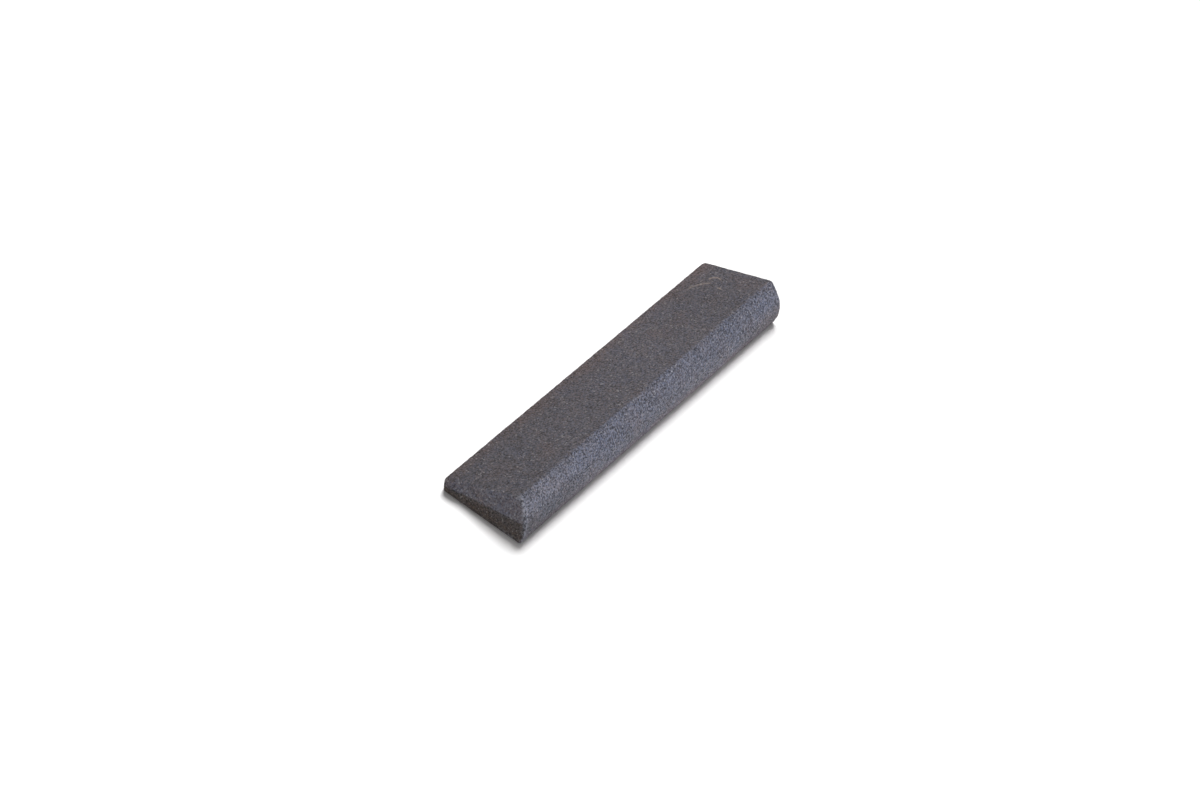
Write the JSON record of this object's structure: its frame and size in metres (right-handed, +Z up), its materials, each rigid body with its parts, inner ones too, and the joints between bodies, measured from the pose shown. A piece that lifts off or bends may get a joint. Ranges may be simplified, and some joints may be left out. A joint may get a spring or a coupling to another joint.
{
  "type": "slip stone",
  "caption": "Hand-held wedge-section sharpening slip stone with a thin edge and a thick rounded side, for honing gouges and carving knives.",
  "frame": {"origin": "bottom centre of the bar, on the flat underside it lies on", "axes": "+X along the bar, from the bevelled end to the square end; the thin edge is at +Y and the thick rounded side at -Y; +Z up"},
  "size_m": [0.1, 0.0206, 0.01],
  "materials": {
    "abrasive": "matt, fine-grained silicon carbide grit in a fired bond, dark grey with tiny sparkling grains"
  },
  "bodies": {
    "root": {"slip_stone": "abrasive"}
  },
  "joints": []
}
